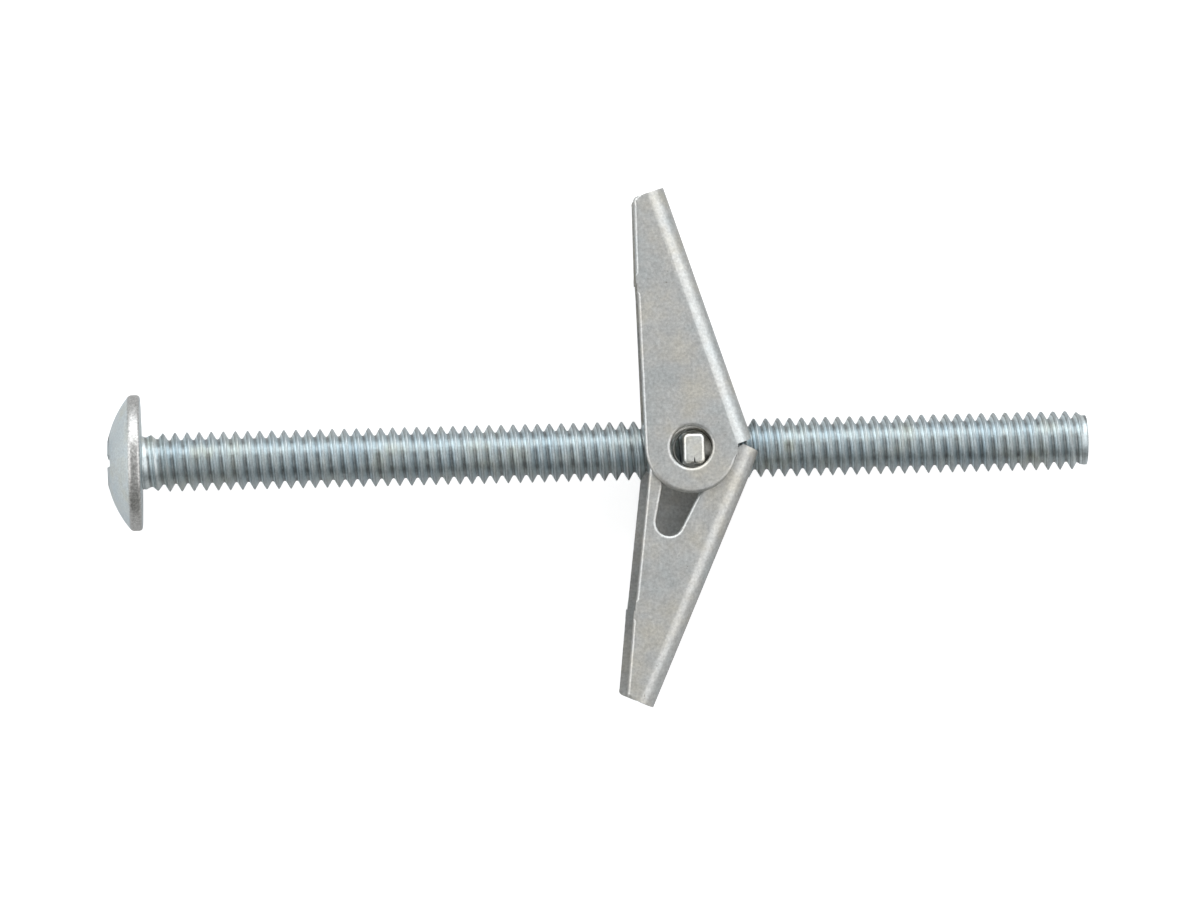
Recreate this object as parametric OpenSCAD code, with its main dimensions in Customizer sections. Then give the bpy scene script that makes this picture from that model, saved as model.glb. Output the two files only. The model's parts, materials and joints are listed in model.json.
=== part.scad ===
// Spring toggle bolt: a 1/4-20 mushroom head machine screw that carries two spring-loaded wings.
// The wings are two identical stampings, turned half round the screw from each other. Each has an
// outer ear with a round hole and an inner ear with a teardrop slot, and the ears interleave on the
// arms of a trunnion nut. The bolt lies on its side, as it comes to rest: on the rim of its head,
// on the lower wing's outer ear and on the tip of the upper wing.

/* [Screw] */
// Length of the screw under its head
screw_l = 99.7; // [90:0.1:130]
// Thread major diameter
thread_d = 6.21; // [6.12:0.01:6.24]
// Diameter of the plain neck under the head
neck_d = 5.64; // [5.5:0.01:5.7]
// Length of the plain neck
neck_l = 1.2; // [0.5:0.1:3]
// Diameter of the mushroom head
head_d = 14.3; // [13:0.1:15.3]
// Height of the head, up to the flat on its crown
head_h = 3.54; // [3:0.01:3.7]
// Radius of the head's dome
dome_r = 11.06; // [10.5:0.01:13]
// Height the dome would have without the flat on its crown
dome_h = 3.77; // [3.7:0.01:4.1]
// Span of the cross recess at the crown
recess_span = 6.6; // [6:0.1:6.9]
// Width of the recess's wings at the crown
recess_w = 1.12; // [1:0.01:1.2]
// Depth at which the wings' tapered ends stop
recess_depth = 2.8; // [2.4:0.1:3]
// Turn of the recess away from upright, about the screw
recess_turn = 4; // [-45:1:45]

/* [Trunnion nut] */
// Distance from the head's bearing face to the middle of the nut's arms
nut_at = 57.85; // [40:0.05:80]
// Width of an arm, along the screw
arm_w = 2.29; // [2:0.01:2.35]
// Height of an arm, across the screw
arm_h = 3.23; // [3:0.01:3.23]
// Radius of the round plate between the arms
plate_r = 3.87; // [3.75:0.01:3.9]
// Outer radius of the threaded collar
collar_r = 3.43; // [3.35:0.01:3.43]
// Length of the collar, from the middle of the arms
collar_l = 4.8; // [3:0.1:4.8]
// Radial running clearance between the nut and the screw
thread_gap = 0.03; // [0.02:0.01:0.1]

/* [Wings] */
// Thickness of the sheet
sheet_t = 0.69; // [0.6:0.01:0.69]
// Distance from the screw's centre line to an inner ear's inside face
ear_in = 4.16; // [4.16:0.01:4.2]
// Gap between an outer ear and the inner ear beside it
ear_gap = 0.15; // [0.15:0.01:0.2]
// Distance from the hinge to the outside of the spine
spine_out = 6.36; // [6.3:0.01:6.45]
// Outside radius of the bends between the spine and the cheeks
bend_r = 1.96; // [1.8:0.01:1.96]
// Length of a wing, from the hinge to its tip
wing_l = 26.6; // [24:0.1:30]
// Width of the outer cheek at the wing's tip
outer_tip_w = 3.45; // [2.8:0.01:4]
// Width of the inner cheek at the wing's tip
inner_tip_w = 3.1; // [2.8:0.01:4]
// Radius of the outer ear's round end
outer_ear_r = 4.85; // [4.6:0.01:4.9]
// Radius of the inner ear's round end
inner_ear_r = 4.4; // [4.2:0.01:4.4]
// Radius of the hinge hole in an outer ear
hole_r = 2.18; // [2.15:0.01:2.25]
// Angle between the upper wing's spine and a square line across the screw
spread_a = 18; // [16:0.1:24]
// Angle between the lower wing's spine and a square line across the screw
spread_b = 24; // [24:0.1:30]

/* [Spring] */
// Diameter of the spring wire
wire_d = 0.33; // [0.2:0.01:0.33]
// Radius of the coils, to the middle of the wire
coil_r = 2.09; // [2.05:0.01:2.15]
// Distance along a wing at which the wire meets its spine
reach = 10.8; // [8:0.1:16]

/* [Hidden] */

thread_r = thread_d / 2;
neck_r = neck_d / 2;
head_r = head_d / 2;
rim_top_r = 0.6;
rim_low_r = 0.4;
neck_fillet = 0.32;
tip_r = 2.45;
tip_chamfer = 0.65;
recess_taper = 26.5;
recess_draft = 5.75;
recess_core_r = 1.15;
recess_point_h = 0.75;
recess_point_r = 0.5;

arm_round = 0.58;
seam_w = 0.3;
seam_h = 0.8;
edge_bevel = 0.3;

ear_mid = ear_in + sheet_t;
ear_low = ear_mid + ear_gap;
ear_out = ear_low + sheet_t;
arm_inset = 0.1;
arm_l = ear_out - arm_inset;
spine_in = spine_out - sheet_t;
bend_p = spine_out - bend_r;
outer_end = 1.32;
inner_end = 2.5;
end_round = 0.45;
tip_round = 0.5;
lip_h = 0.6;
lip_run = 0.4;
inner_ear_p = -0.2;
step_q = 18;
step_h = 0.12;
notch_r = 3.45;
notch_q = -1.2;

slot_big = [-0.12, 0.34, 2.46];
slot_small = [0.42, 8.03, 1.38];

// Each wing's hinge hole rests off the middle of the arms, because the holes are larger than the arms
play_a = [-0.29, 0.19];
play_b = [0.15, -0.15];

head_touch = [-rim_low_r, 0, -head_r];
ear_touch = [nut_at + play_b.x + outer_ear_r * cos(60), play_b.y + outer_ear_r * sin(60), -ear_out];
tip_touch = concat(wing_point(bend_p, wing_l, spread_a, play_a), -ear_mid);
floor_up = cross(ear_touch - head_touch, tip_touch - head_touch);
roll = atan2(floor_up.y, floor_up.z);
pitch = atan2(-floor_up.x, norm([floor_up.y, floor_up.z]));

wire_r = wire_d / 2;
wire_gap = 0.15;
coil_gap = 0.02;
turn_gap = 0.015;
coil_in = collar_r + wire_r + coil_gap;
coil_pitch = wire_d + turn_gap;
leg_in = 3.33;
bridge_round = 0.9;

// How far a shape reaches past what it cuts
past = 1;

$fn = 96;

// A point of the upper wing in the screw's frame, from its place square to and along the spine
function wing_point(p, q, spread, play) =
    [nut_at + play.x + p * cos(spread) - q * sin(spread), play.y + p * sin(spread) + q * cos(spread)];

// A point on a circle
function polar(r, angle) = [r * cos(angle), r * sin(angle)];

module at_rest() {
    rotate([roll, pitch, 0]) children();
}

// The head's outline: radius across, height above the bearing face up
module head_profile() {
    dome_at = dome_h - dome_r;
    fillet_p = head_r - rim_top_r;
    fillet_q = dome_at + sqrt(pow(dome_r - rim_top_r, 2) - pow(fillet_p, 2));
    past_dome = 1.1 * dome_r / (dome_r - rim_top_r);
    fillet_out = [0, dome_at] + past_dome * [fillet_p, fillet_q - dome_at];
    intersection() {
        translate([0, dome_at]) circle(dome_r, $fn = 256);
        polygon([
            [0, 0],
            [fillet_p, 0],
            [fillet_p, fillet_q],
            fillet_out,
            [fillet_out.x, head_h],
            [0, head_h]
        ]);
    }
    translate([fillet_p, fillet_q]) circle(rim_top_r);
    translate([head_r - rim_low_r, rim_low_r]) circle(rim_low_r);
    square([head_r - rim_low_r, fillet_q]);
    translate([0, rim_low_r]) square([head_r, fillet_q - rim_low_r]);
}

module shank_profile() {
    difference() {
        polygon([
            [0, rim_low_r],
            [neck_r + neck_fillet, rim_low_r],
            [neck_r + neck_fillet, -neck_fillet],
            [neck_r, -neck_fillet],
            [neck_r, -neck_l],
            [thread_r, -neck_l - (thread_r - neck_r)],
            [thread_r, tip_chamfer - screw_l],
            [tip_r, -screw_l],
            [0, -screw_l]
        ]);
        translate([neck_r + neck_fillet, -neck_fillet]) circle(neck_fillet);
    }
}

// Outline of the cone that the recess's wings are cut to, with its blunt point, from the crown down
module recess_cone() {
    top_r = recess_span / 2;
    slope = tan(recess_taper);
    polygon([
        [0, past],
        [top_r + past * slope, past],
        [top_r - recess_depth * slope, -recess_depth],
        [recess_point_r, -recess_depth - recess_point_h],
        [0, -recess_depth - recess_point_h]
    ]);
}

// Section of a wing of the recess, which narrows as it goes down from the crown
module recess_section() {
    bottom = recess_depth + recess_point_h + past;
    top_w = recess_w / 2 + past * tan(recess_draft);
    bottom_w = recess_w / 2 - bottom * tan(recess_draft);
    polygon([[-top_w, past], [top_w, past], [bottom_w, -bottom], [-bottom_w, -bottom]]);
}

module cross_recess() {
    intersection() {
        rotate_extrude(angle = 360) recess_cone();
        for (turn = [0, 90])
            rotate([90, 0, turn + recess_turn])
            linear_extrude(2 * recess_span, center = true)
            recess_section();
    }
    translate([0, 0, -recess_depth]) cylinder(recess_depth, recess_point_r, recess_core_r);
}

module machine_screw() {
    color("lightsteelblue") at_rest() rotate([0, -90, 0]) difference() {
        union() {
            rotate_extrude(angle = 360) head_profile();
            rotate_extrude(angle = 360) shank_profile();
        }
        translate([0, 0, head_h]) cross_recess();
    }
}

// Section of an arm: a strip folded over at the top, with its two lips meeting at a seam below
module arm_section() {
    difference() {
        union() {
            for (x = [-1, 1], y = [-1, 1])
                translate([x * (arm_w / 2 - arm_round), y * (arm_h / 2 - arm_round)]) circle(arm_round);
            square([arm_w, arm_h - 2 * arm_round], center = true);
            square([arm_w - 2 * arm_round, arm_h], center = true);
        }
        polygon([[-seam_w / 2, -arm_h / 2], [0, seam_h - arm_h / 2], [seam_w / 2, -arm_h / 2]]);
    }
}

module trunnion_nut() {
    bore_r = thread_r + thread_gap;
    color("gainsboro") at_rest() translate([nut_at, 0, 0]) difference() {
        union() {
            translate([0, 0, -arm_l]) linear_extrude(2 * arm_l) arm_section();
            rotate([0, 90, 0]) cylinder(arm_w, plate_r, plate_r, center = true);
            rotate([0, 90, 0]) cylinder(collar_l, collar_r, collar_r);
        }
        rotate([0, 90, 0]) cylinder(4 * collar_l, bore_r, bore_r, center = true);
        translate([-arm_w / 2, 0, 0])
            rotate([0, 90, 0])
            cylinder(2 * edge_bevel, bore_r + edge_bevel, bore_r - edge_bevel, center = true);
    }
}

// Half the outline of a channel: its outside, or its inside when the sheet's thickness is taken off
module channel_outline(top, side_low, side_high, r) {
    translate([-2 * outer_ear_r, -side_low]) square([top - r + 2 * outer_ear_r, side_low + side_high]);
    translate([top - 2 * r, r - side_low]) square([2 * r, side_low + side_high - 2 * r]);
    translate([top - r, side_high - r]) circle(r);
    translate([top - r, r - side_low]) circle(r);
}

// The folded channel: a spine between the inner cheek, below, and the outer cheek, above
module channel() {
    reach_back = 2 * inner_end;
    translate([0, wing_l + past, 0]) rotate([90, 0, 0]) linear_extrude(wing_l + reach_back + past)
        difference() {
            channel_outline(spine_out, ear_mid, ear_out, bend_r);
            translate([-past, 0])
                channel_outline(spine_in + past, ear_in, ear_low, bend_r - sheet_t);
        }
}

// Outline of one cheek, seen square to it: a round ear that tapers to the tip
module cheek_outline(ear_r, ear_p, tip_w, end_q) {
    tip_p = spine_out - tip_w;
    far = norm([tip_p - ear_p, wing_l]);
    touch = polar(ear_r, atan2(wing_l, tip_p - ear_p) + acos(ear_r / far));
    edge = [tip_p, wing_l] - [ear_p, 0] - touch;
    step_at = (step_q - touch.y) / edge.y;
    step_p = ear_p + touch.x + edge.x * step_at;
    translate([ear_p, 0]) circle(ear_r);
    polygon([
        [ear_p + touch.x, touch.y],
        [step_p, step_q],
        [step_p - step_h, step_q],
        [tip_p - step_h, wing_l - tip_round],
        [tip_p - step_h + tip_round, wing_l],
        [spine_out + past, wing_l],
        [spine_out + past, end_round - end_q],
        [spine_out, end_round - end_q],
        [spine_out - end_round, -end_q],
        [bend_p, -end_q],
        [bend_p - lip_run, lip_h - end_q],
        [0, lip_h - end_q]
    ]);
    translate([tip_p - step_h + tip_round, wing_l - tip_round]) circle(tip_round);
    translate([spine_out - end_round, end_round - end_q]) circle(end_round);
}

// The teardrop slot in the inner ear
module teardrop() {
    along = [slot_small.x - slot_big.x, slot_small.y - slot_big.y];
    lean = atan2(along.y, along.x);
    open = acos((slot_big.z - slot_small.z) / norm(along));
    big = [slot_big.x, slot_big.y];
    small = [slot_small.x, slot_small.y];
    translate(big) circle(slot_big.z);
    translate(small) circle(slot_small.z);
    polygon([
        big + polar(slot_big.z, lean + open),
        small + polar(slot_small.z, lean + open),
        small + polar(slot_small.z, lean - open),
        big + polar(slot_big.z, lean - open)
    ]);
}

// A wing about its hinge: the spine on the +X side, the tip at +Y, the outer ear at +Z
module wing() {
    depth = 2 * ear_out;
    difference() {
        intersection() {
            channel();
            union() {
                linear_extrude(depth) difference() {
                    cheek_outline(outer_ear_r, 0, outer_tip_w, outer_end);
                    circle(hole_r);
                }
                translate([0, 0, -depth]) linear_extrude(depth) difference() {
                    cheek_outline(inner_ear_r, inner_ear_p, inner_tip_w, inner_end);
                    teardrop();
                }
            }
        }
        translate([0, notch_q, 0]) rotate([0, 90, 0]) cylinder(depth, notch_r, notch_r);
        translate([0, notch_q - depth, -notch_r]) cube([depth, depth, 2 * notch_r]);
    }
}

module wing_a() {
    color("silver") at_rest() translate([nut_at + play_a.x, play_a.y, 0]) rotate([0, 0, spread_a]) wing();
}

module wing_b() {
    color("silver") at_rest()
        translate([nut_at + play_b.x, play_b.y, 0])
        rotate([180, 0, 0])
        rotate([0, 0, spread_b])
        wing();
}

// A wire swept along a path: one ring of points at each point of the path
module wire(path, sides = 8) {
    last = len(path) - 1;
    never_along = [0, 0.02, 1];
    function heading(i) = path[min(i + 1, last)] - path[max(i - 1, 0)];
    function across(i) = let (c = cross(heading(i), never_along)) c / norm(c);
    function upward(i) = let (c = cross(across(i), heading(i))) c / norm(c);
    rings = [for (i = [0:last], k = [0:sides - 1])
        path[i] + wire_r * (cos(k * 360 / sides) * across(i) + sin(k * 360 / sides) * upward(i))];
    walls = [for (i = [0:last - 1], k = [0:sides - 1])
        [i * sides + k, i * sides + (k + 1) % sides, (i + 1) * sides + (k + 1) % sides, (i + 1) * sides + k]];
    ends = [[for (k = [0:sides - 1]) sides - 1 - k], [for (k = [0:sides - 1]) last * sides + k]];
    polyhedron(rings, concat(walls, ends));
}

// Where the wire meets a spine, about the middle of the nut
function spine_point(spread, play, up) =
    let (p = spine_in - wire_r - wire_gap)
    [play.x + p * cos(spread) - reach * sin(spread), play.y + up * (p * sin(spread) + reach * cos(spread))];

module spring() {
    end_a = spine_point(spread_a, play_a, 1);
    end_b = spine_point(spread_b, play_b, -1);
    leave_a = atan2(end_a.y, end_a.x) - acos(coil_r / norm(end_a));
    leave_b = atan2(end_b.y, end_b.x) + acos(coil_r / norm(end_b));
    turn = 360 + leave_a - leave_b;
    steps = 28;
    corner_steps = 4;
    coil_out = coil_in + coil_pitch * turn / 360;
    leg = end_a - polar(coil_r, leave_a);
    along = leg / norm(leg);
    function coil(side) = [for (i = [0:steps])
        let (part = i / steps)
        concat(polar(coil_r, leave_b + turn * part), side * (coil_in + (coil_out - coil_in) * part))];
    function corner(side, t) =
        concat(end_a - bridge_round * (1 - sin(t)) * along, side * (leg_in - bridge_round * (1 - cos(t))));
    function bend_in(side) = [for (i = [0:corner_steps]) corner(side, 90 * i / corner_steps)];
    function backward(list) = [for (i = [len(list) - 1:-1:0]) list[i]];
    function half(side) = concat([concat(end_b, side * leg_in)], coil(side), bend_in(side));
    color("dimgray") at_rest() translate([nut_at, 0, 0])
        wire(concat(half(1), backward(half(-1))));
}

machine_screw();
trunnion_nut();
wing_a();
wing_b();
spring();
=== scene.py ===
"""Spring toggle bolt: a zinc plated 1/4-20 mushroom head screw with two sprung sheet metal wings.

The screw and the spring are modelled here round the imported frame. The wings and the nut are the
frame's own shapes, with their sheet edges rolled as a press leaves them. Lengths are millimetres
until a finished piece is laid in place, in metres.
"""
import json
import math
import bpy
from mathutils import Matrix, Vector


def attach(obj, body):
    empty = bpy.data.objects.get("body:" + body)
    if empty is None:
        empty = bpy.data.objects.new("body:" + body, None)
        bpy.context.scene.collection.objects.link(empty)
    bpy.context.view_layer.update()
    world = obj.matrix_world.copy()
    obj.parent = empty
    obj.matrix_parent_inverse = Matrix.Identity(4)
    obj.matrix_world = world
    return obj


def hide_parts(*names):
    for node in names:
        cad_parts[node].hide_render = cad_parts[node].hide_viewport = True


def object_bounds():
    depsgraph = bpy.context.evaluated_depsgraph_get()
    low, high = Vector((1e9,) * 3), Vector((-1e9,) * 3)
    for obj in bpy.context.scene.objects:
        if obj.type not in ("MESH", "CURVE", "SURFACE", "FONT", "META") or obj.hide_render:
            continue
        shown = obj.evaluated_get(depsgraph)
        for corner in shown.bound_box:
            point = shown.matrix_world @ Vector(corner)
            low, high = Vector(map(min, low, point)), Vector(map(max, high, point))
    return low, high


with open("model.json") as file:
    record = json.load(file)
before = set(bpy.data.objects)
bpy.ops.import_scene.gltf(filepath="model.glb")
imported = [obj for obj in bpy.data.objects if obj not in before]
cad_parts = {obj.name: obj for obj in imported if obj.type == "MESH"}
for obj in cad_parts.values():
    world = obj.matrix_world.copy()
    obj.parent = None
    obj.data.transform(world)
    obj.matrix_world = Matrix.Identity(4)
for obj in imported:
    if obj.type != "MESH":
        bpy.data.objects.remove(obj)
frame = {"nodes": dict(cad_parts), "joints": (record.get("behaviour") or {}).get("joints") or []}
cad_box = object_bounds()

MM = 0.001
TURN = 2 * math.pi

# The screw, along Z from under its head while it is made
SCREW_L = 99.7
PITCH = 1.27
CREST_R = 3.105
CREST_ROUND = 0.08
ROOT_ROUND = 0.19
TOP_CREST_AT = 1.03
THREAD_TURNS = 82  # enough to pass the tip, where they are cut off
THREAD_STEPS = 64
NECK_R = 2.76
RUN_OUT_START = -0.6
RUN_OUT_END = 3.2
NECK_FILLET = 0.32
SHANK_START = 0.12
STUB_IN = 0.2  # the head's stub is this much smaller than the neck that it joins
STUB_H = 0.1
TIP_R = 2.62
TIP_START = 98.5
TIP_FULL = 99.3
HEAD_R = 7.15
HEAD_H = 3.54
DOME_R = 11.06
DOME_H = 3.77
RIM_TOP_ROUND = 0.6
RIM_LOW_ROUND = 0.4

# The cross recess in its head
RECESS_SPAN = 6.6
RECESS_W = 1.12
RECESS_DEPTH = 2.8
RECESS_POINT_H = 0.75
RECESS_POINT_R = 0.5
RECESS_CORE_R = 1.15
RECESS_SLOPE = math.tan(math.radians(26.5))
RECESS_DRAFT = math.tan(math.radians(5.75))
RECESS_TURN = math.radians(-4)
RECESS_ROLL = 0.13
BARS_REACH = 4.2  # past the tapered cone that trims the cross
OVER_CROWN = 1    # the punch starts this far above the crown
MOUTH_H = 0.45    # the mouth's edges lie within this below the crown
MOUTH_OUT = 0.3   # and within this of the recess's span

# The pressings. Heights above the screw's axis, a little under the faces that the die drew down
EDGE_ROLL = 0.4
ARM_END = 5.4
OUTER_EAR = 5.64
INNER_EAR = 4.8

# Their tight corners, each an (along, across, radius) round the point where the edge stays crisp
NUT_CRISP = [(57.77, -1.2, 0.12), (57.93, -1.2, 0.12)]  # both sides of the seam in an arm's end
WING_A_CRISP = [(52.2, 17.4, 0.8),                      # the step in the open side
                (53.3, 26.8, 0.65),                     # the corner at the wing's end
                (62.4, -0.1, 0.65), (62.65, -0.8, 0.4)]  # where the ear leaves the spine
WING_B_CRISP = [(51.2, -16.8, 0.8),                     # the same places on the other wing
                (51.0, -26.2, 0.55),
                (62.65, 0.15, 0.6), (62.8, -0.65, 0.4)]

# Where the wings' open sides are divided, on either side of their step
WING_A_CUTS = [16.3, 18.5]
WING_B_CUTS = [-15.7, -17.9]

# The spring, about the middle of the nut's arms
NUT_AT = 57.85
WIRE_R = 0.165
WIRE_GAP = 0.15
COIL_R = 2.09
COIL_IN = 3.615
COIL_PITCH = 0.345
LEG_IN = 3.33
COIL_STEPS = 48
ARM_FROM = 0.7
LEG_TO = 0.3
BRIDGE_ROUND = 0.9
REACH = 10.8
SPINE_IN = 5.67
SPREAD_A = math.radians(18)
SPREAD_B = math.radians(24)
PLAY_A = Vector((-0.29, 0.19))
PLAY_B = Vector((0.15, -0.15))

# Where an arm turns in to become the bridge: how far back as a share of the arm, and how far in
BEND_IN = [(0.07, -0.03), (0.015, 0.12), (0, BRIDGE_ROUND)]

# The studio
MIDDLE = Vector((50, 0, 0)) * MM
FLOOR_GAP = 0.02
WHITE_SHOWN = 0.1
CAMERA_AT = Vector((27, 16, 700)) * MM
CAMERA_AIM = Vector((48.2, 0.2, 0)) * MM
CAMERA_ROLL = math.radians(1.37)
SENSOR_W = 36
SEEN_W = 1200 / 9.5 * MM

JOINTS = {joint["name"]: joint for joint in frame["joints"]}
ALONG = Vector(JOINTS["nut_travel"]["axis"]).normalized()
UP = Vector(JOINTS["wing_a_hinge"]["axis"]).normalized()
ACROSS = UP.cross(ALONG)
LIE = Matrix((ALONG, ACROSS, UP)).transposed().to_4x4() @ Matrix.Scale(MM, 4)
UPRIGHT_TO_ALONG = Matrix.Rotation(math.radians(90), 4, "Y")


# ---------------------------------------------------------------- modelling steps

def only(piece):
    """Selects one piece and nothing else."""
    bpy.ops.object.select_all(action="DESELECT")
    piece.select_set(True)
    bpy.context.view_layer.objects.active = piece


def edit_all(piece):
    """Opens a piece in edit mode with everything selected."""
    only(piece)
    bpy.ops.object.mode_set(mode="EDIT")
    bpy.ops.mesh.select_all(action="SELECT")


def object_mode():
    bpy.ops.object.mode_set(mode="OBJECT")


def modify(piece, kind, **settings):
    """Adds a modifier with its settings and applies it."""
    only(piece)
    modifier = piece.modifiers.new(kind, kind)
    for name, value in settings.items():
        setattr(modifier, name, value)
    bpy.ops.object.modifier_apply(modifier=modifier.name)


def place(piece, matrix):
    """Moves a finished piece by a matrix, and leaves its object unmoved, unturned and unscaled."""
    only(piece)
    piece.matrix_world = matrix
    bpy.ops.object.transform_apply(location=True, rotation=True, scale=True)


def smooth(piece, angle):
    only(piece)
    bpy.ops.object.shade_smooth_by_angle(angle=math.radians(angle))


def roll_edges(piece, offset, segments, wanted):
    """Rounds the sharp edges that are wanted by their two ends."""
    edit_all(piece)
    bpy.ops.mesh.select_all(action="DESELECT")
    bpy.ops.mesh.select_mode(type="EDGE")
    bpy.ops.mesh.edges_select_sharp(sharpness=math.radians(40))
    object_mode()
    points = piece.data.vertices
    chosen = [edge for edge in piece.data.edges
              if edge.select and wanted(*[points[i].co for i in edge.vertices])]
    for kind in (piece.data.vertices, piece.data.edges, piece.data.polygons):
        kind.foreach_set("select", [False] * len(kind))
    for edge in chosen:
        edge.select = True
    bpy.ops.object.mode_set(mode="EDIT")
    bpy.ops.mesh.bevel(offset=offset, segments=segments, affect="EDGES")
    object_mode()


def polar(radius, angle):
    return Vector((radius * math.cos(angle), radius * math.sin(angle)))


def arc(centre, radius, first, last, steps):
    """Points of an arc, with angles in degrees from the first axis towards the second."""
    angles = [math.radians(first + (last - first) * i / steps) for i in range(steps + 1)]
    return [(centre[0] + radius * math.cos(a), centre[1] + radius * math.sin(a)) for a in angles]


def chain(name, points):
    """A chain of edges through the points, extruded one by one from a single vertex."""
    bpy.ops.object.select_all(action="DESELECT")
    bpy.ops.mesh.primitive_plane_add(size=1, location=points[0])
    piece = bpy.context.object
    piece.name = name
    bpy.ops.object.transform_apply(location=True)
    bpy.ops.object.mode_set(mode="EDIT")
    bpy.ops.mesh.select_all(action="SELECT")
    bpy.ops.mesh.merge(type="CENTER")
    for here, there in zip(points, points[1:]):
        bpy.ops.mesh.extrude_region_move(
            TRANSFORM_OT_translate={"value": Vector(there) - Vector(here)})
    object_mode()
    return piece


def upright(outline):
    """An outline of (radius, height) pairs as points beside the Z axis."""
    return [(0, radius, height) for radius, height in outline]


def lathe(name, outline, steps):
    """A turned solid: an outline of (radius, height) pairs spun about the Z axis."""
    piece = chain(name, upright(outline))
    edit_all(piece)
    bpy.ops.mesh.spin(steps=steps, angle=TURN, center=(0, 0, 0), axis=(0, 0, 1))
    bpy.ops.mesh.select_all(action="SELECT")
    bpy.ops.mesh.remove_doubles(threshold=1e-4)
    bpy.ops.mesh.normals_make_consistent(inside=False)
    object_mode()
    return piece


def weigh(piece, name, weight):
    """A vertex group whose weights follow each point's height."""
    group = piece.vertex_groups.new(name=name)
    for vertex in piece.data.vertices:
        amount = weight(vertex.co.z)
        if amount > 0:
            group.add([vertex.index], amount, "REPLACE")
    return group.name


def ramp(low, high):
    """A weight that rises smoothly from 0 at low to 1 at high, or falls if high is the lower."""
    def weight(height):
        t = min(1.0, max(0.0, (height - low) / (high - low)))
        return t * t * (3 - 2 * t)
    return weight


# ---------------------------------------------------------------- the screw

def screw_head():
    """The mushroom head, its underside, its neck fillet and a stub that reaches into the neck."""
    dome_at = DOME_R - DOME_H
    flat_r = math.sqrt(DOME_R ** 2 - (dome_at + HEAD_H) ** 2)
    round_r = HEAD_R - RIM_TOP_ROUND
    round_up = math.sqrt((DOME_R - RIM_TOP_ROUND) ** 2 - round_r ** 2)
    first = -math.degrees(math.atan2(dome_at + HEAD_H, flat_r))
    meet = -math.degrees(math.atan2(round_up, round_r))
    outline = [(0, -HEAD_H)]
    outline += arc((0, dome_at), DOME_R, first, meet, 18)
    outline += arc((round_r, dome_at - round_up), RIM_TOP_ROUND, meet, 0, 6)[1:]
    outline += arc((HEAD_R - RIM_LOW_ROUND, -RIM_LOW_ROUND), RIM_LOW_ROUND, 0, 90, 5)
    outline += arc((NECK_R + NECK_FILLET, NECK_FILLET), NECK_FILLET, -90, -180, 5)
    outline += [(NECK_R - STUB_IN, NECK_FILLET + STUB_H), (0, NECK_FILLET + STUB_H)]
    head = lathe("head_blank", outline, 128)
    punch_recess(head)
    return head


def combine(piece, other, operation):
    """Joins, cuts or intersects a piece with another, which is used up."""
    modify(piece, "BOOLEAN", operation=operation, object=other, solver="EXACT")
    bpy.data.objects.remove(other)


def cross_bars():
    """A plus-shaped bar, which narrows from the crown down as the recess's wings do."""
    wide = RECESS_W / 2 + OVER_CROWN * RECESS_DRAFT
    length = RECESS_DEPTH + RECESS_POINT_H + 2 * OVER_CROWN
    narrow = wide - RECESS_DRAFT * length
    quarter = [(BARS_REACH, wide), (wide, wide), (wide, BARS_REACH)]
    outline = []
    for _ in range(4):
        outline += quarter
        quarter = [(-y, x) for x, y in quarter]
    bars = chain("recess_bars", [(x, y, -HEAD_H - OVER_CROWN) for x, y in outline])
    edit_all(bars)
    bpy.ops.mesh.edge_face_add()
    bpy.ops.mesh.extrude_region_move(TRANSFORM_OT_translate={"value": (0, 0, length)})
    bpy.ops.transform.resize(value=(narrow / wide, narrow / wide, 1), center_override=(0, 0, 0))
    bpy.ops.mesh.select_all(action="SELECT")
    bpy.ops.mesh.normals_make_consistent(inside=False)
    object_mode()
    return bars


def punch_recess(head):
    """The cross recess, punched into the crown, with the edges of its mouth rolled in."""
    top_r = RECESS_SPAN / 2
    top = -HEAD_H - OVER_CROWN
    bottom = RECESS_DEPTH + RECESS_POINT_H - HEAD_H
    punch = lathe("recess_punch", [
        (0, top), (top_r + OVER_CROWN * RECESS_SLOPE, top),
        (top_r - RECESS_SLOPE * RECESS_DEPTH, RECESS_DEPTH - HEAD_H),
        (RECESS_POINT_R, bottom), (0, bottom)], 64)
    combine(punch, cross_bars(), "INTERSECT")
    bpy.ops.object.select_all(action="DESELECT")
    bpy.ops.mesh.primitive_cone_add(radius1=RECESS_CORE_R, radius2=RECESS_POINT_R,
                                    depth=RECESS_DEPTH,
                                    location=(0, 0, RECESS_DEPTH / 2 - HEAD_H))
    combine(punch, bpy.context.object, "UNION")
    punch.rotation_euler = (0, 0, RECESS_TURN)
    combine(head, punch, "DIFFERENCE")

    def at_mouth(*ends):
        return all(end.z < MOUTH_H - HEAD_H and end.xy.length < top_r + MOUTH_OUT for end in ends)

    roll_edges(head, RECESS_ROLL, 3, at_mouth)


def thread_outline():
    """One pitch of the rolled thread, from the middle of one root to the next. It starts above the
    head's bearing face, where the shank is cut off."""
    start = TOP_CREST_AT - 2.5 * PITCH
    root_r = CREST_R + CREST_ROUND + ROOT_ROUND - PITCH * math.cos(math.radians(30))
    rise = arc((root_r + ROOT_ROUND, start), ROOT_ROUND, 180, 120, 2)
    crest = arc((CREST_R - CREST_ROUND, start + PITCH / 2), CREST_ROUND, -60, 60, 3)
    fall = arc((root_r + ROOT_ROUND, start + PITCH), ROOT_ROUND, 240, 180, 2)
    return rise + crest + fall


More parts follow.
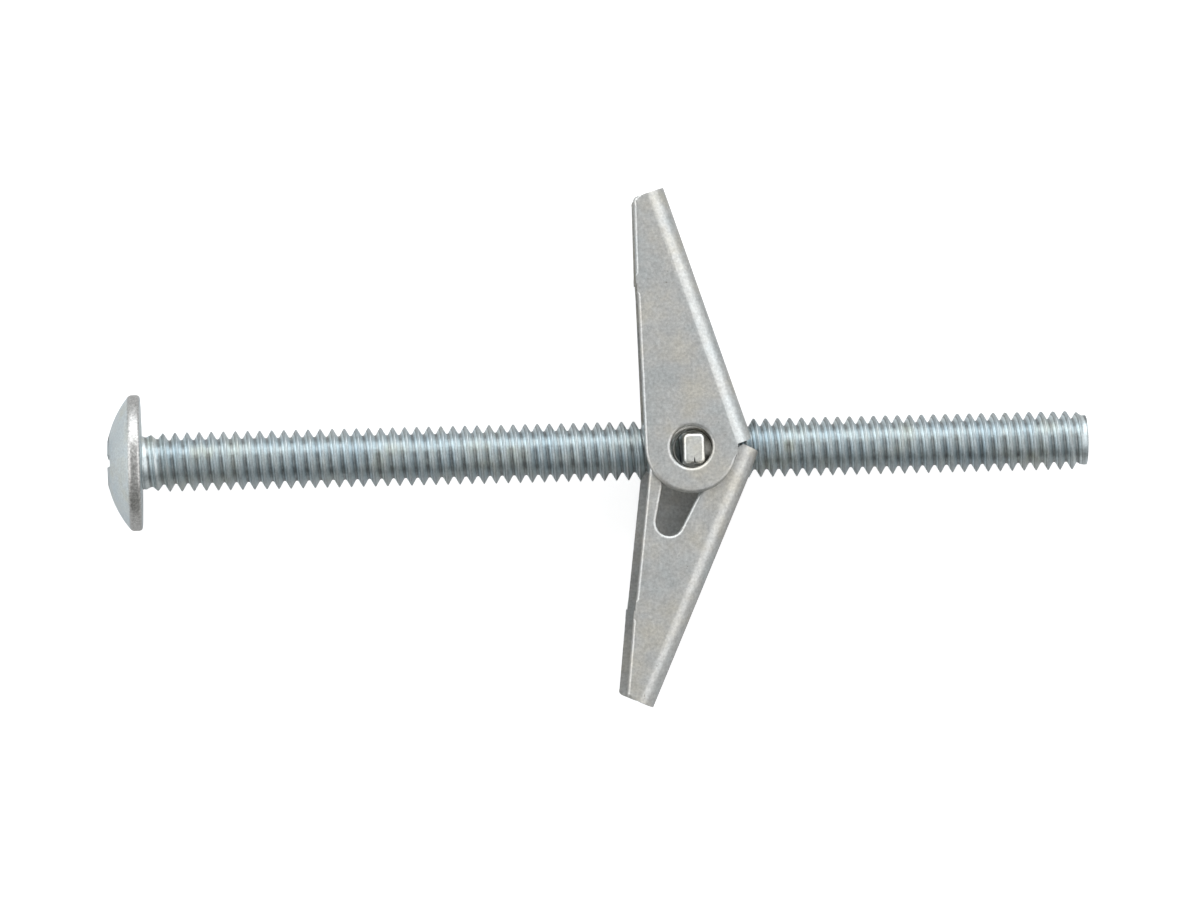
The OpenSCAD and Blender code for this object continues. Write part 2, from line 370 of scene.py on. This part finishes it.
def threaded_shank():
    """The thread as a true helix, which fades into the neck at one end and the tip at the other."""
    shank = chain("machine_screw_turned", upright(thread_outline()))
    modify(shank, "SCREW", axis="Z", angle=TURN, screw_offset=PITCH, iterations=THREAD_TURNS,
           steps=THREAD_STEPS, render_steps=THREAD_STEPS, use_merge_vertices=True,
           merge_threshold=1e-4)
    edit_all(shank)
    bpy.ops.mesh.remove_doubles(threshold=1e-3)
    bpy.ops.mesh.bisect(plane_co=(0, 0, SHANK_START), plane_no=(0, 0, 1), clear_inner=True)
    bpy.ops.mesh.edge_face_add()
    bpy.ops.mesh.select_all(action="SELECT")
    bpy.ops.mesh.bisect(plane_co=(0, 0, SCREW_L), plane_no=(0, 0, 1), clear_outer=True)
    bpy.ops.mesh.edge_face_add()
    bpy.ops.mesh.select_all(action="SELECT")
    bpy.ops.mesh.normals_make_consistent(inside=False)
    object_mode()
    neck = weigh(shank, "neck", ramp(RUN_OUT_END, RUN_OUT_START))
    tip = weigh(shank, "tip", ramp(TIP_START, TIP_FULL))
    modify(shank, "CAST", cast_type="CYLINDER", use_z=False, factor=1,
           use_radius_as_size=False, size=NECK_R, vertex_group=neck)
    modify(shank, "CAST", cast_type="CYLINDER", use_z=False, factor=1,
           use_radius_as_size=False, size=TIP_R, vertex_group=tip)
    return shank


def machine_screw(finish):
    shank = threaded_shank()
    head = screw_head()
    combine(shank, head, "UNION")
    smooth(shank, 35)
    place(shank, LIE @ UPRIGHT_TO_ALONG)
    dress(shank, finish)
    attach(shank, "screw")
    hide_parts("machine_screw")


# ---------------------------------------------------------------- the pressings

def pressing(node, body, finish, low, high, crisp, cuts=()):
    """A pressed piece: the frame's own shape, with its cut edges rolled over on the sides that the
    die drew down, which lie beyond low and high. The edges stay crisp at the tight corners, and
    cuts are where the long edges are divided for that."""
    piece = bpy.data.objects.new(node + "_pressed", frame["nodes"][node].data.copy())
    bpy.context.scene.collection.objects.link(piece)
    place(piece, Matrix.Scale(1 / MM, 4))
    edit_all(piece)
    bpy.ops.mesh.remove_doubles(threshold=1e-3)
    bpy.ops.mesh.dissolve_limited(angle_limit=math.radians(0.5))
    object_mode()

    for across in cuts:
        edit_all(piece)
        bpy.ops.mesh.bisect(plane_co=ACROSS * across, plane_no=ACROSS)
        object_mode()

    def drawn_down(start, end):
        middle = (start + end) / 2
        plan = Vector((middle.dot(ALONG), middle.dot(ACROSS)))
        return (not low < start.dot(UP) < high and not low < end.dot(UP) < high
                and all((plan - Vector(spot)).length > radius for *spot, radius in crisp))

    roll_edges(piece, EDGE_ROLL, 5, drawn_down)
    smooth(piece, 30)
    modify(piece, "WEIGHTED_NORMAL", mode="FACE_AREA", weight=100, keep_sharp=True)
    place(piece, Matrix.Scale(MM, 4))
    dress(piece, finish)
    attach(piece, body)
    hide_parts(node)


# ---------------------------------------------------------------- the spring

def wire(name, points, body, finish):
    """A bent wire through points in millimetres about the middle of the nut's arms."""
    curve = bpy.data.curves.new(name, "CURVE")
    curve.dimensions = "3D"
    curve.bevel_depth = WIRE_R
    curve.bevel_resolution = 3
    curve.use_fill_caps = True
    spline = curve.splines.new("POLY")
    spline.points.add(len(points) - 1)
    for point, (x, y, z) in zip(spline.points, points):
        point.co = (x + NUT_AT, y, z, 1)
    piece = bpy.data.objects.new(name, curve)
    bpy.context.scene.collection.objects.link(piece)
    only(piece)
    bpy.ops.object.convert(target="MESH")
    smooth(piece, 50)
    place(piece, LIE)
    dress(piece, finish)
    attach(piece, body)
    return piece


def spine_point(spread, play, side):
    """Where the wire meets the inside of a spine, seen along the hinge."""
    p = SPINE_IN - WIRE_R - WIRE_GAP
    x = play.x + p * math.cos(spread) - REACH * math.sin(spread)
    y = play.y + side * (p * math.sin(spread) + REACH * math.cos(spread))
    return Vector((x, y))


def spring(finish):
    """Two coils round the nut's arms, a bridge that bears on one spine, two legs on the other."""
    end_a = spine_point(SPREAD_A, PLAY_A, 1)
    end_b = spine_point(SPREAD_B, PLAY_B, -1)
    leave_a = math.atan2(end_a.y, end_a.x) - math.acos(COIL_R / end_a.length)
    leave_b = math.atan2(end_b.y, end_b.x) + math.acos(COIL_R / end_b.length)
    turn = TURN + leave_a - leave_b

    def coil(side, first=0.0, last=1.0):
        count = max(2, round(COIL_STEPS * (last - first)))
        shares = [first + (last - first) * i / count for i in range(count + 1)]
        return [(*polar(COIL_R, leave_b + turn * s),
                 side * (COIL_IN + COIL_PITCH * turn * s / TURN)) for s in shares]

    def bend_in(side):
        start = polar(COIL_R, leave_a)
        return [(*end_a.lerp(start, share), side * (LEG_IN - inward)) for share, inward in BEND_IN]

    arm_a = coil(1, ARM_FROM) + bend_in(1)
    other_arm = [(x, y, -z) for x, y, z in reversed(arm_a)]
    bridge = wire("spring_bridge", arm_a + other_arm, "wing_a", finish)
    for side, name in ((1, "upper"), (-1, "lower")):
        wire("spring_coil_" + name, coil(side), "nut", finish)
        leg = [(*end_b, side * LEG_IN)] + coil(side, 0, LEG_TO)
        wire("spring_leg_" + name, leg, "wing_b", finish)
    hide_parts("spring")


# ---------------------------------------------------------------- finishes

def linear(colour):
    """An sRGB hex colour as linear RGBA."""
    parts = [int(colour[i:i + 2], 16) / 255 for i in (1, 3, 5)]
    return (*[c / 12.92 if c <= 0.04045 else ((c + 0.055) / 1.055) ** 2.4 for c in parts], 1)


def add(tree, kind, inputs=None, **settings):
    """Adds a shader node with its settings. inputs gives each socket a value or a node's output."""
    node = tree.nodes.new(kind)
    for name, value in settings.items():
        setattr(node, name, value)
    for name, value in (inputs or {}).items():
        if isinstance(value, bpy.types.NodeSocket):
            tree.links.new(value, node.inputs[name])
        else:
            node.inputs[name].default_value = value
    return node


def stops(node, *colours):
    """Sets a colour ramp's stops from (position, linear colour) pairs."""
    elements = node.color_ramp.elements
    while len(elements) < len(colours):
        elements.new(0.5)
    for element, (position, colour) in zip(elements, colours):
        element.position = position
        element.color = colour
    return node


def blank(name):
    material = bpy.data.materials.new(name)
    material.use_nodes = True
    tree = material.node_tree
    tree.nodes.clear()
    return material, tree


def dress(piece, material):
    piece.data.materials.clear()
    piece.data.materials.append(material)


def noise(tree, at, size_mm, detail, roughness=0.5):
    """Noise whose features are about size_mm across."""
    return add(tree, "ShaderNodeTexNoise", {
        "Vector": at, "Scale": 1 / (size_mm * MM), "Detail": detail,
        "Roughness": roughness}).outputs["Fac"]


def remap(tree, value, low, high, to_low, to_high):
    return add(tree, "ShaderNodeMapRange", {
        "Value": value, "From Min": low, "From Max": high,
        "To Min": to_low, "To Max": to_high}).outputs["Result"]


def scaled(tree, colour, factor):
    return add(tree, "ShaderNodeVectorMath", {0: colour, "Scale": factor},
               operation="SCALE").outputs["Vector"]


def mixed(tree, factor, first, second, blend="MIX"):
    return add(tree, "ShaderNodeMix", {"Factor": factor, "A": first, "B": second},
               data_type="RGBA", blend_type=blend).outputs["Result"]


def reckoned(tree, operation, *values):
    """The result of a sum on numbers or other nodes' outputs."""
    return add(tree, "ShaderNodeMath", dict(enumerate(values)),
               operation=operation).outputs["Value"]


def metal_surface(tree, colour, roughness, height, depth_mm, strength):
    bump = add(tree, "ShaderNodeBump", {
        "Height": height, "Strength": strength, "Distance": depth_mm * MM})
    metal = add(tree, "ShaderNodeBsdfPrincipled", {
        "Base Color": colour, "Metallic": 1.0, "Roughness": roughness,
        "Normal": bump.outputs["Normal"]})
    add(tree, "ShaderNodeOutputMaterial", {"Surface": metal.outputs["BSDF"]})


# Painted light and shade across one pitch of the thread, as (share of the pitch, grey) from one
# root to the next: painted shade in the roots, a painted highlight line with a line of painted
# shade beside it on the flank towards the head, and a crest darkened to dull its highlight
THREAD_PAINTED_LIGHT = [(0.0, 0.30), (0.08, 0.30), (0.14, 0.85), (0.21, 0.98), (0.24, 1.2), (0.28, 1.0),
               (0.32, 0.30), (0.37, 0.72), (0.45, 0.66), (0.56, 0.66), (0.66, 0.90), (0.86, 0.85),
               (0.94, 0.32)]

# The radii between which the thread's painted light and shade ends, and the scuffed rim begins
THREAD_END_R = (3.15, 3.25)
RIM_SCUFF_R = (6.85, 7.05)


def bright_zinc():
    """Bright zinc plating with a blue passivate: a smooth, faintly blue metal. The thread carries
    painted shade in its roots and on a crease, a painted highlight line, and a crest darkened to
    dull its highlight. The rim of the head is scuffed from tumbling."""
    material, tree = blank("bright_zinc_plate")
    place_at = add(tree, "ShaderNodeTexCoord").outputs["Object"]
    lay = add(tree, "ShaderNodeMapping", {"Vector": place_at}, vector_type="TEXTURE")
    lay.inputs["Rotation"].default_value = LIE.to_3x3().normalized().to_euler()
    apart = add(tree, "ShaderNodeSeparateXYZ", {"Vector": lay.outputs["Vector"]}).outputs
    off_axis = add(tree, "ShaderNodeCombineXYZ", {"Y": apart["Y"], "Z": apart["Z"]})
    radius = add(tree, "ShaderNodeVectorMath", {0: off_axis.outputs["Vector"]},
                 operation="LENGTH").outputs["Value"]

    speck = noise(tree, place_at, 0.22, 4, 0.7)
    tint = stops(add(tree, "ShaderNodeValToRGB", {"Fac": noise(tree, place_at, 3, 4)}),
                 (0.3, linear("#D3DFE5")), (0.55, linear("#E0E8EA")), (0.75, linear("#DEE2DC")))
    rim = remap(tree, radius, *[r * MM for r in RIM_SCUFF_R], 0, 1)
    scuffed = scaled(tree, linear("#D6D5D3")[:3], remap(tree, speck, 0.38, 0.62, 0.62, 0.94))
    skin = mixed(tree, rim, tint.outputs["Color"], scuffed)

    # The thread's painted shade and painted highlight, laid out along the helix one pitch at a time
    angle = reckoned(tree, "ARCTAN2", apart["Z"], apart["Y"])
    advance = reckoned(tree, "MULTIPLY_ADD", angle, -PITCH * MM / TURN, apart["X"])
    turns = reckoned(tree, "MULTIPLY_ADD", advance, 1 / (PITCH * MM), 0.5 - TOP_CREST_AT / PITCH)
    painted_by_pitch = stops(add(tree, "ShaderNodeValToRGB", {"Fac": reckoned(tree, "FRACT", turns)}),
                    *[(at, (grey, grey, grey, 1)) for at, grey in THREAD_PAINTED_LIGHT])
    # How strongly the painted shade and highlight show, varying at random over the thread
    painted_share = remap(tree, noise(tree, place_at, 0.8, 3), 0.35, 0.65, 0.7, 1.0)
    patchy_painted_light = mixed(tree, painted_share, (1, 1, 1, 1), painted_by_pitch.outputs["Color"])
    off_thread = remap(tree, radius, *[r * MM for r in THREAD_END_R], 0, 1)
    # The skin multiplied by the thread's painted shade and highlight, which fade out off the thread
    skin_and_painted_light = mixed(tree, 1.0, skin, mixed(tree, off_thread, patchy_painted_light, (1, 1, 1, 1)), "MULTIPLY")
    flecked = scaled(tree, skin_and_painted_light, remap(tree, speck, 0.3, 0.7, 0.80, 1.10))
    metal_surface(tree, flecked, remap(tree, speck, 0.3, 0.7, 0.30, 0.44), speck, 0.06, 0.5)
    return material


def satin_zinc(name, cool, plain, warm, roughness):
    """Barrel zinc plating on cold rolled strip: a satin grey with a fine orange peel, clouded by
    faint blue and yellow stains of the passivate, with a few dark nicks."""
    material, tree = blank(name)
    place_at = add(tree, "ShaderNodeTexCoord").outputs["Object"]
    stain = noise(tree, place_at, 5, 3, 0.6)
    tint = stops(add(tree, "ShaderNodeValToRGB", {"Fac": stain}),
                 (0.36, linear(cool)), (0.5, linear(plain)), (0.66, linear(warm)))
    grain = noise(tree, place_at, 0.3, 4, 0.65)
    patch = noise(tree, place_at, 1.2, 2)
    grained = scaled(tree, tint.outputs["Color"], remap(tree, grain, 0.3, 0.7, 0.80, 1.14))
    mottled = scaled(tree, grained, remap(tree, patch, 0.3, 0.7, 0.94, 1.04))
    nick = remap(tree, noise(tree, place_at, 0.7, 3, 0.7), 0.70, 0.76, 0, 0.7)
    nicked = mixed(tree, nick, mottled, linear("#6B6558"))
    metal_surface(tree, nicked, remap(tree, stain, 0.3, 0.7, roughness - 0.05, roughness + 0.05),
                  grain, 0.03, 0.5)
    return material


# ---------------------------------------------------------------- studio

def seen_white(tree):
    """1 for what the camera sees straight on, and a share of it for what metal or glass shows."""
    rays = add(tree, "ShaderNodeLightPath").outputs
    bounced = reckoned(tree, "MAXIMUM", rays["Is Glossy Ray"], rays["Is Transmission Ray"])
    return reckoned(tree, "MAXIMUM", rays["Is Camera Ray"],
                    reckoned(tree, "MULTIPLY", bounced, WHITE_SHOWN))


def white_floor():
    """A white table. The camera sees it lifted to white, with the bolt's own soft shadow left on
    it, and the metal sees it greyer, so that its turned-away sides keep their outline."""
    under = cad_box[0].z - FLOOR_GAP * MM
    bpy.ops.object.select_all(action="DESELECT")
    bpy.ops.mesh.primitive_plane_add(size=4, location=(MIDDLE.x, 0, under))
    floor = bpy.context.object
    floor.name = "floor"
    material, tree = blank("white_table")
    lift = reckoned(tree, "MULTIPLY", seen_white(tree), 0.75)
    paper = add(tree, "ShaderNodeBsdfDiffuse", {"Color": (0.55, 0.55, 0.55, 1)})
    glow = add(tree, "ShaderNodeEmission", {"Color": (1, 1, 1, 1), "Strength": lift})
    both = add(tree, "ShaderNodeAddShader", {0: paper.outputs["BSDF"],
                                             1: glow.outputs["Emission"]})
    add(tree, "ShaderNodeOutputMaterial", {"Surface": both.outputs["Shader"]})
    dress(floor, material)


def studio_world():
    """A light tent, open at the top where the camera looks in: its walls are brighter and bluer
    behind the bolt and darker in front of it. The camera sees it white."""
    world = bpy.data.worlds.new("studio")
    bpy.context.scene.world = world
    world.use_nodes = True
    tree = world.node_tree
    tree.nodes.clear()
    facing = add(tree, "ShaderNodeTexCoord").outputs["Generated"]
    way = add(tree, "ShaderNodeSeparateXYZ", {"Vector": facing}).outputs
    back = remap(tree, way["Y"], -0.8, 0.7, 0, 1)
    walls = stops(add(tree, "ShaderNodeValToRGB", {"Fac": back}),
                  (0.0, (0.13, 0.135, 0.125, 1)), (0.5, (0.85, 0.85, 0.84, 1)),
                  (1.0, (1.08, 1.17, 1.22, 1)))
    up = add(tree, "ShaderNodeMapRange", {"Value": way["Z"], "From Min": 0.35, "From Max": 0.85},
             interpolation_type="SMOOTHSTEP").outputs["Result"]
    tent = mixed(tree, up, walls.outputs["Color"], (0.41, 0.42, 0.42, 1))
    soft = add(tree, "ShaderNodeBackground", {"Color": tent, "Strength": 1.0})
    white = add(tree, "ShaderNodeBackground", {"Color": (1, 1, 1, 1), "Strength": 1.0})
    pick = add(tree, "ShaderNodeMixShader", {"Fac": seen_white(tree),
                                             1: soft.outputs["Background"],
                                             2: white.outputs["Background"]})
    add(tree, "ShaderNodeOutputWorld", {"Surface": pick.outputs["Shader"]})


def softbox(name, azimuth, height, distance, size, brightness):
    """An evenly lit rectangle that faces the bolt, from an azimuth and a height in degrees."""
    lift = math.radians(height)
    across = polar(math.cos(lift), math.radians(azimuth))
    out = Vector((*across, math.sin(lift)))
    lamp = bpy.data.lights.new(name, "AREA")
    lamp.shape = "RECTANGLE"
    lamp.size, lamp.size_y = size
    lamp.energy = brightness * math.pi * size[0] * size[1]
    holder = bpy.data.objects.new(name, lamp)
    holder.location = MIDDLE + out * distance
    holder.rotation_euler = (-out).to_track_quat("-Z", "Y").to_euler()
    bpy.context.scene.collection.objects.link(holder)


def lights():
    softbox("softbox_back", 90, 30, 0.6, (0.9, 0.45), 2.05)
    softbox("softbox_right", 2, 45, 0.6, (0.6, 0.6), 1.1)
    softbox("softbox_left", 172, 32, 0.6, (0.6, 0.4), 1.3)


def camera():
    """Above the bolt, looking almost straight down from over the head's half of the screw."""
    distance = (CAMERA_AT - CAMERA_AIM).length
    back = (CAMERA_AT - CAMERA_AIM).normalized()
    lens = bpy.data.cameras.new("camera")
    lens.sensor_width = SENSOR_W
    lens.lens = SENSOR_W * distance / SEEN_W
    holder = bpy.data.objects.new("camera", lens)
    right = Vector((math.cos(CAMERA_ROLL), -math.sin(CAMERA_ROLL), 0))
    right = (right - right.dot(back) * back).normalized()
    turned = Matrix((right, back.cross(right), back)).transposed()
    holder.matrix_world = Matrix.Translation(CAMERA_AT) @ turned.to_4x4()
    bpy.context.scene.collection.objects.link(holder)
    bpy.context.scene.camera = holder


bpy.context.scene.view_settings.view_transform = "Standard"
screw_finish = bright_zinc()
wing_finish = satin_zinc("satin_zinc_strip", "#C5C8C8", "#C8C8C6", "#C9C6BE", 0.43)
nut_finish = satin_zinc("satin_zinc_nut", "#E2E6E6", "#E6E8E6", "#E4E2DA", 0.36)
wire_finish = satin_zinc("zinc_spring_wire", "#8B9091", "#8E908E", "#8F8D86", 0.36)
machine_screw(screw_finish)
pressing("trunnion_nut", "nut", nut_finish, -ARM_END, ARM_END, NUT_CRISP)
pressing("wing_a", "wing_a", wing_finish, -INNER_EAR, OUTER_EAR,
         WING_A_CRISP, WING_A_CUTS)
pressing("wing_b", "wing_b", wing_finish, -OUTER_EAR, INNER_EAR,
         WING_B_CRISP, WING_B_CUTS)
spring(wire_finish)
white_floor()
studio_world()
lights()
camera()
